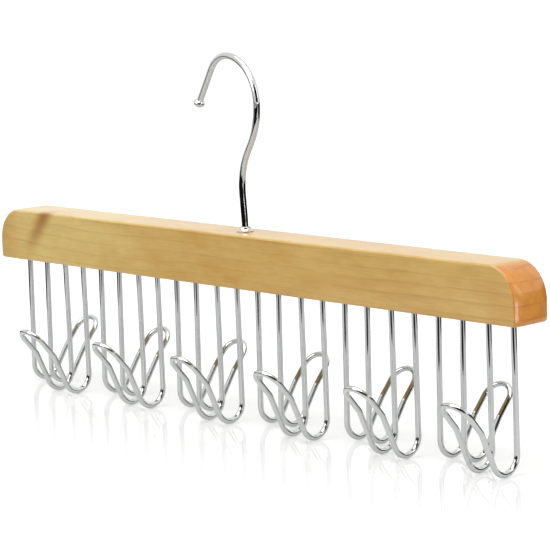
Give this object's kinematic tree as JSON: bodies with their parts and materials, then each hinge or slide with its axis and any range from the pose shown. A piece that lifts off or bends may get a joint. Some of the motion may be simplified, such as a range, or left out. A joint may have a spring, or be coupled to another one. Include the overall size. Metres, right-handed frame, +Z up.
{
  "type": "wooden belt hanger",
  "caption": "Lacquered wooden bar with a row of bent chrome wire hooks below for belts, facing back and front in turn, hung on a rail by a swivelling chrome hook.",
  "frame": {"origin": "under the middle of the bar, level with the lowest point of the belt hooks", "axes": "+Z up, +X along the bar to the right, front towards -Y"},
  "size_m": [0.432, 0.0825, 0.2125],
  "materials": {
    "wood": "clear gloss lacquer over pale wood",
    "chrome": "bright chrome plated wire",
    "steel": "plain zinc plated steel"
  },
  "bodies": {
    "bar": {"bar": "wood", "hook_ferrule": "chrome", "hook_washer": "steel", "belt_hook_01": "chrome", "belt_hook_02": "chrome", "belt_hook_03": "chrome", "belt_hook_04": "chrome", "belt_hook_05": "chrome", "belt_hook_06": "chrome", "belt_hook_07": "chrome", "belt_hook_08": "chrome", "belt_hook_09": "chrome", "belt_hook_10": "chrome", "belt_hook_11": "chrome", "belt_hook_12": "chrome"},
    "swivel_hook": {"swivel_hook": "chrome"}
  },
  "joints": [
    {"name": "hook_swivel", "type": "hinge", "parent": "bar", "child": "swivel_hook", "pos_m": [0, 0, 0.1112], "axis": [0, 0, 1], "continuous": true}
  ]
}
